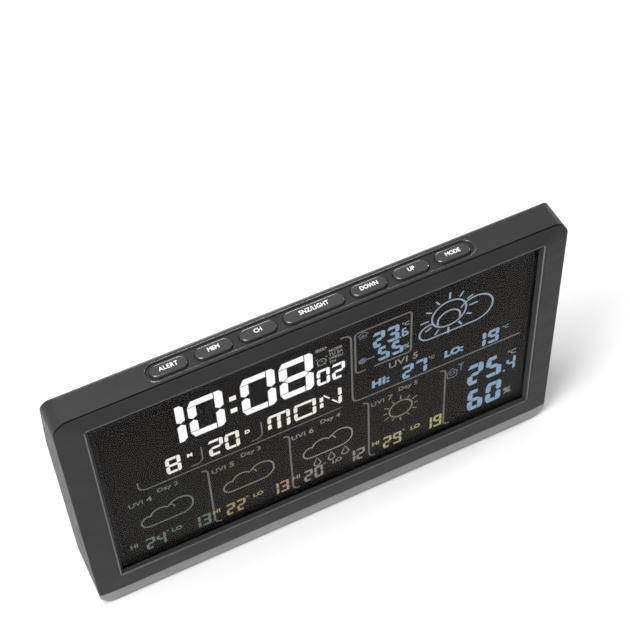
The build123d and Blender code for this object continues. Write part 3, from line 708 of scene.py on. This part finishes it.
def readingFigures():
    bm = bmesh.new()
    for number in readingLook["numbers"]:
        addNumber(bm, *number)
    for point in readingLook["points"]:
        addBox(bm, *point)
    for words in readingLook["words"]:
        addWords(bm, *words)
    displayPiece(bm, "reading_figures", "inkBlue")


def readingMarks():
    bm = bmesh.new()
    for words in readingLook["units"]:
        addWords(bm, *words)
    displayPiece(bm, "reading_marks", "inkGrey")


readingFigures()
readingMarks()

# thermometer, house and outdoor sensor signs, each round its own middle
signsLook = {
    "bulbX": 17.8, "bulbZ": 95.8, "bulbR": 1.8, "tube": 0.9,
    "houseX": 18.3, "houseZ": 112.5, "roof": 0.6, "wall": 0.55, "personR": 0.8,
    "sensorX": 60.3, "sensorZ": 60.9, "sensorLine": 0.75, "eyeR": 1.2, "eyeLine": 0.5,
    "aerialX": 64.6, "aerialZ": 65.6, "aerialLine": 0.6,
}


def addHouse(bm):
    look = signsLook
    x, z = look["houseX"], look["houseZ"]
    addLine(bm, [(x - 2.4, z), (x, z + 2.1), (x + 2.4, z)], look["roof"])
    walls = [(x - 1.4, z - 0.1), (x - 1.4, z - 1.9), (x + 1.4, z - 1.9), (x + 1.4, z - 0.1)]
    addLine(bm, walls, look["wall"])
    addPatch(bm, arcPoints(x, z - 0.6, look["personR"], 0, 337.5, 15))


def addSensor(bm):
    look = signsLook
    x, z = look["sensorX"], look["sensorZ"]
    outline = [(x - 2.6, z + 0.7), (x, z + 3.3), (x + 2.6, z + 0.7), (x + 2.0, z - 2.9), (x - 2.0, z - 2.9)]
    addLine(bm, outline, look["sensorLine"], True)
    addLine(bm, arcPoints(x, z, look["eyeR"], 0, 345, 23), look["eyeLine"], True)
    mast, top = look["aerialX"], look["aerialZ"]
    addLine(bm, [(mast, top - 5.2), (mast, top - 0.6)], look["aerialLine"])
    addPatch(bm, [(mast - 1.6, top), (mast + 1.6, top), (mast, top - 2.2)])


def readingSigns():
    look = signsLook
    x, z = look["bulbX"], look["bulbZ"]
    bm = bmesh.new()
    addLine(bm, [(x + 1.6, z - 0.1), (x + 5.5, z - 0.1)], look["tube"])
    addPatch(bm, arcPoints(x, z, look["bulbR"], 0, 337.5, 15))
    addHouse(bm)
    addSensor(bm)
    displayPiece(bm, "reading_signs", "inkDimBlue")


readingSigns()

# the big forecast picture: a sun half behind a cloud
skyLook = {
    "width": 0.95, "sunX": 57.3, "sunZ": 104.0, "sunR": 7.9,
    "rays": 12, "rayFrom": 9.3, "rayTo": 12.4, "longRay": 0.8, "innerZ": 100.6, "innerR": 5.2,
    "cloudLow": 91.9, "cloudRight": 69.5, "smallX": 48.5, "smallR": 4.7, "bigX": 69.6, "bigR": 8.2,
}


def forecastToday():
    look = skyLook
    x, z, width = look["sunX"], look["sunZ"], look["width"]
    bm = bmesh.new()
    addLine(bm, arcPoints(x, z, look["sunR"], 0, 352.5, 47), width, True)
    for k in range(look["rays"]):
        angle = 2 * math.pi * k / look["rays"]
        reach = look["rayTo"] if k % 3 else look["rayTo"] + look["longRay"]
        ray = [(x + r * math.cos(angle), z + r * math.sin(angle)) for r in (look["rayFrom"], reach)]
        addLine(bm, ray, width)
    addLine(bm, arcPoints(x, look["innerZ"], look["innerR"], 200, -20, 24), width)
    low, smallX, smallR = look["cloudLow"], look["smallX"], look["smallR"]
    floorLine = [(look["cloudRight"], low), (smallX, low)]
    addLine(bm, floorLine + arcPoints(smallX, low + smallR, smallR, 270, 75, 20), width)
    addLine(bm, arcPoints(look["bigX"], low + look["bigR"], look["bigR"], 148, -90, 34), width)
    displayPiece(bm, "forecast_today", "inkPaleBlue")


forecastToday()

# four day panels along the bottom
dayLook = {
    "labelZ": 65.4, "labelSize": 3.8, "uviZ": 62.2, "uviSize": 4.1, "indexAfter": 7.9, "indexSize": 5.0,
    "rowZ": 25.6, "figureWide": 4.1, "figureHigh": 8.3, "figureBar": 1.15, "highPitch": 4.9, "lowPitch": 4.7,
    "degreeAfter": 9.4, "degreeUp": 7.2, "degreeSize": 3.4, "tagZ": 32.2, "tagSize": 3.7, "tagsApart": 18.8,
    "cloudWide": 23.6, "cloudHigh": 12.4, "cloudLine": 0.85, "sunR": 5.5, "sunLine": 0.9, "dropLine": 0.7,
}
dayPanels = (  # day, index, label x, index x, highest, its x, lowest, its x, tag x
    ("2", "4", -75.6, -88.4, "24", -84.6, "13", -63.8, -72.8),
    ("3", "5", -38.6, -51.8, "22", -47.8, "13", -27.2, -35.2),
    ("4", "6", -2.3, -15.6, "20", -11.1, "12", 9.4, 2.3),
    ("5", "7", 34.3, 21.3, "29", 27.1, "19", 47.3, 40.5),
)
dayInks = {"2": "inkGreen", "3": "inkOlive", "4": "inkGrey", "5": "inkOlive"}
rowInks = {"3": "inkOrange", "5": "inkYellow"}  # the other rows have their panel's ink
dayClouds = {"2": (-84.6, 42.2), "3": (-47.6, 42.4), "4": (-10.8, 42.4)}
dayDrops = {"4": ((-4.6, 34.4), (2.2, 34.4), (8.8, 34.4))}
daySuns = {"5": (35.6, 51.2)}


def addCloud(bm, x, z):
    # an outline cloud: small lobe on the left, a middle bump, a big lobe on the right
    wide, high, width = dayLook["cloudWide"], dayLook["cloudHigh"], dayLook["cloudLine"]
    smallR, midR, bigR = 0.31 * high, 0.36 * high, 0.44 * high
    midX, midZ = x + 0.37 * wide, z + high * 0.50
    bigX = x + wide - bigR - 0.5
    outline = arcPoints(x + smallR, z + smallR, smallR, 270, 95, 14)
    outline += arcPoints(midX, midZ, midR, 170, 40, 12)
    outline += arcPoints(bigX, z + high - bigR, bigR, 140, 0, 14)
    outline += arcPoints(bigX, z + bigR, bigR, 0, -90, 10)
    addLine(bm, outline, width, True)
    addLine(bm, arcPoints(midX + midR * 0.55, midZ + midR * 0.15, midR * 0.9, 60, 5, 6), width * 0.8)


def addSun(bm, x, z):
    radius, width = dayLook["sunR"], dayLook["sunLine"]
    addLine(bm, arcPoints(x, z, radius, 0, 350, 35), width, True)
    for k in range(12):
        angle = math.radians(30 * k)
        reach = radius + (3.6 if k % 2 else 2.7)
        ray = [(x + r * math.cos(angle), z + r * math.sin(angle)) for r in (radius + 1.0, reach)]
        addLine(bm, ray, width * 0.8)


def addDrop(bm, x, z):
    outline = [(x, z + 6.2)] + arcPoints(x, z + 1.9, 1.6, 25, -205, 18)
    addLine(bm, outline, dayLook["dropLine"], True)


def addDayLabels(bm, day, index, labelX, uviX):
    look = dayLook
    addWords(bm, "Day " + day, labelX, look["labelZ"], look["labelSize"], 0.06, 1.04)
    addWords(bm, "UVI", uviX, look["uviZ"], look["uviSize"], 0.05, 1.05)
    addWords(bm, index, uviX + look["indexAfter"], look["uviZ"], look["indexSize"], 0.07)


def addDayRow(bm, high, highX, low, lowX, tagX):
    look = dayLook
    z, wide, tall, bar = look["rowZ"], look["figureWide"], look["figureHigh"], look["figureBar"]
    addNumber(bm, high, highX, z, wide, tall, bar, look["highPitch"])
    addWords(bm, "°", highX + look["degreeAfter"], z + look["degreeUp"], look["degreeSize"], 0.03)
    addWords(bm, "LO", tagX, look["tagZ"], look["tagSize"], 0.10)
    addWords(bm, "HI", tagX - look["tagsApart"], look["tagZ"], look["tagSize"], 0.10)
    addNumber(bm, low, lowX, z, wide, tall, bar, look["lowPitch"])


def addDayPicture(bm, day):
    if day in dayClouds:
        addCloud(bm, *dayClouds[day])
    for place in dayDrops.get(day, ()):
        addDrop(bm, *place)
    if day in daySuns:
        addSun(bm, *daySuns[day])


def dayPanel(day, index, labelX, uviX, *row):
    panel = bmesh.new()
    figures = bmesh.new() if day in rowInks else panel
    addDayLabels(panel, day, index, labelX, uviX)
    addDayPicture(panel, day)
    addDayRow(figures, *row)
    displayPiece(panel, "forecast_day_" + day, dayInks[day])
    if day in rowInks:
        displayPiece(figures, "day_" + day + "_figures", rowInks[day])


for panelValues in dayPanels:
    dayPanel(*panelValues)

# rounded box round the indoor readings, open below
boxLook = {
    "left": 14.7, "right": 40.0, "low": 89.1, "high": 115.3, "radius": 1.8,
    "middleX": 30.0, "middleZ": 100.0, "openFrom": 19.3, "openTo": 22.9,
}


def indoorOutline():
    look = boxLook
    left, right, low, high = (look[side] for side in ("left", "right", "low", "high"))
    midX, midZ, radius = look["middleX"], look["middleZ"], look["radius"]
    bm = bmesh.new()
    outline = roundedLine((
        (look["openFrom"], low, left, low, left, midZ, radius),
        (left, midZ, left, high, midX, high, radius),
        (midX, high, right, high, right, midZ, radius),
        (right, midZ, right, low, look["openTo"], low, radius),
    ))
    addLine(bm, outline, rulesLook["bold"])
    displayPiece(bm, "indoor_outline", "inkLine")


indoorOutline()
print("display marks made")

# printed border on the back of the window
borderLook = {"left": -94.8, "right": 94.8, "low": 21.6, "high": 120.6, "lap": 0.3, "gap": 0.02}
windowLow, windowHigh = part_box("display_window")


def windowBorder():
    inLeft, inRight, inLow, inHigh = (borderLook[side] for side in ("left", "right", "low", "high"))
    lap = borderLook["lap"]
    left, right = windowLow.x / mm + lap, windowHigh.x / mm - lap
    low, high = windowLow.z / mm + lap, windowHigh.z / mm - lap
    bm = bmesh.new()
    for strip in (
        [(left, inHigh), (right, inHigh), (right, high), (left, high)],
        [(left, low), (right, low), (right, inLow), (left, inLow)],
        [(left, inLow), (inLeft, inLow), (inLeft, inHigh), (left, inHigh)],
        [(inRight, inLow), (right, inLow), (right, inHigh), (inRight, inHigh)],
    ):
        addPatch(bm, strip)
    bmesh.ops.remove_doubles(bm, verts=bm.verts, dist=1e-7)
    behind = windowHigh.y + borderLook["gap"] * mm - inkFront
    bmesh.ops.translate(bm, vec=(0, behind, 0), verts=bm.verts)
    settle(bm, "window_border", "case", "printInk", 0)


windowBorder()
print("window border made")

# sloped lip that runs from the frame's inner edge down to the window
lipLook = {
    "depth": 1.65, "across": 1.6, "side": 11.0, "top": 7.3, "windowLap": 2.0, "soft": 0.5, "softSteps": 3,
}


def frameOpening(y, inset=0.0):
    # the four corners of the frame's opening at the depth y, moved inwards by the inset
    frameLow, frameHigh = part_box("front_frame")
    side = lipLook["side"] * mm + inset
    left, right = frameLow.x + side, frameHigh.x - side
    low = windowLow.z + lipLook["windowLap"] * mm + inset
    top = frameHigh.z - lipLook["top"] * mm - inset
    return [(left, y, low), (right, y, low), (right, y, top), (left, y, top)]


def windowLip():
    lipFront = windowLow.y - lipLook["depth"] * mm
    bm = bmesh.new()
    crest = [bm.verts.new(place) for place in frameOpening(lipFront)]
    inner = [bm.verts.new(place) for place in frameOpening(windowLow.y, lipLook["across"] * mm)]
    back = [bm.verts.new(place) for place in frameOpening(windowLow.y)]
    for index in range(4):
        follow = (index + 1) % 4
        bm.faces.new((crest[index], crest[follow], inner[follow], inner[index]))
        bm.faces.new((crest[index], back[index], back[follow], crest[follow]))
        bm.faces.new((back[index], inner[index], inner[follow], back[follow]))
    bmesh.ops.recalc_face_normals(bm, faces=bm.faces)
    crestEdges = [edge for edge in bm.edges if all(vertex in crest for vertex in edge.verts)]
    bmesh.ops.bevel(
        bm, geom=crestEdges, offset=lipLook["soft"] * mm, offset_type="OFFSET", segments=lipLook["softSteps"],
        profile=0.5, material=-1, affect="EDGES",
    )
    return settle(bm, "window_lip", "case", "framePlastic", 30.0)


windowLip()
print("window lip made")

# fine rounded bead on the frame's inner edge, which catches the light from above
edgeBeadLook = {"radius": 0.5, "back": 0.37, "sides": 20}


def edgeBead():
    sides, radius = edgeBeadLook["sides"], edgeBeadLook["radius"] * mm
    middle = windowLow.y - (lipLook["depth"] - edgeBeadLook["back"]) * mm
    outward = ((-1, -1), (1, -1), (1, 1), (-1, 1))
    bm = bmesh.new()
    rings = []
    for (x, y, z), (outX, outZ) in zip(frameOpening(middle), outward):
        ring = []
        for step in range(sides):
            angle = 2 * math.pi * step / sides
            aside, forward = radius * math.cos(angle), radius * math.sin(angle)
            ring.append(bm.verts.new((x + outX * aside, y - forward, z + outZ * aside)))
        rings.append(ring)
    for index, ring in enumerate(rings):
        follow = rings[(index + 1) % len(rings)]
        for step in range(sides):
            after = (step + 1) % sides
            bm.faces.new((ring[step], follow[step], follow[after], ring[after]))
    return settle(bm, "frame_bead", "case", "polishedLip", 40.0)


edgeBead()
print("frame bead made")

# stage: pale floor, soft studio light, camera
stageLook = {
    "floor": (0.82, 0.82, 0.82), "floorHalf": 3.0, "world": 0.30, "aimHigh": 0.06,
    "key": {"place": (-0.55, -0.30, 0.85), "size": 0.38, "power": 4.6},
    "top": {"place": (-0.28, -0.10, 1.04), "size": 0.6, "power": 9.5},
    "right": {"place": (1.00, 0.10, 0.24), "size": 0.15, "power": 4.5},
    "back": {"place": (0.20, 0.95, 0.22), "size": 0.40, "power": 5.0},
}


def paleFloor():
    bm = bmesh.new()
    bmesh.ops.create_grid(bm, x_segments=2, y_segments=2, size=stageLook["floorHalf"])
    mesh = bpy.data.meshes.new("floor")
    bm.to_mesh(mesh)
    bm.free()
    item = bpy.data.objects.new("floor", mesh)
    scene.collection.objects.link(item)
    material, nodes, links, shader = newMaterial("floorPaint")
    place = nodes.new("ShaderNodeTexCoord")
    cloud = noiseOn(nodes, links, place, 3.0, 4.0)
    tone = rampOn(nodes, links, cloud, 0.3, 0.7, 0.0, 1.0)
    base = mixOn(nodes, links, tone, scaled(stageLook["floor"], 0.985), stageLook["floor"])
    links.new(base, shader.inputs["Base Color"])
    shader.inputs["Roughness"].default_value = 0.8
    mesh.materials.append(material)


def softBox(name, look):
    lamp = bpy.data.lights.new(name, "AREA")
    lamp.shape = "DISK"
    lamp.size = look["size"]
    lamp.energy = look["power"]
    item = bpy.data.objects.new(name, lamp)
    item.location = look["place"]
    aim = Vector((0, 0, stageLook["aimHigh"])) - Vector(look["place"])
    item.rotation_euler = aim.to_track_quat("-Z", "Y").to_euler()
    scene.collection.objects.link(item)


def softWorld():
    world = bpy.data.worlds.new("studio")
    world.use_nodes = True
    background = world.node_tree.nodes["Background"]
    background.inputs["Color"].default_value = (1.0, 1.0, 1.0, 1.0)
    background.inputs["Strength"].default_value = stageLook["world"]
    scene.world = world


cameraLook = {
    "place": (-0.14891, -0.35060, 0.60574), "turn": (38.289, 1.954, -25.866),
    "lens": 90.0, "sensor": 36.0, "near": 0.01,
}


def placeCamera():
    lens = bpy.data.cameras.new("camera")
    lens.lens = cameraLook["lens"]
    lens.sensor_width = cameraLook["sensor"]
    lens.clip_start = cameraLook["near"]
    camera = bpy.data.objects.new("camera", lens)
    camera.location = cameraLook["place"]
    camera.rotation_euler = [math.radians(angle) for angle in cameraLook["turn"]]
    scene.collection.objects.link(camera)
    scene.camera = camera


paleFloor()
for lampName in ("key", "top", "right", "back"):
    softBox(lampName + "_light", stageLook[lampName])
softWorld()
placeCamera()
print("stage made")
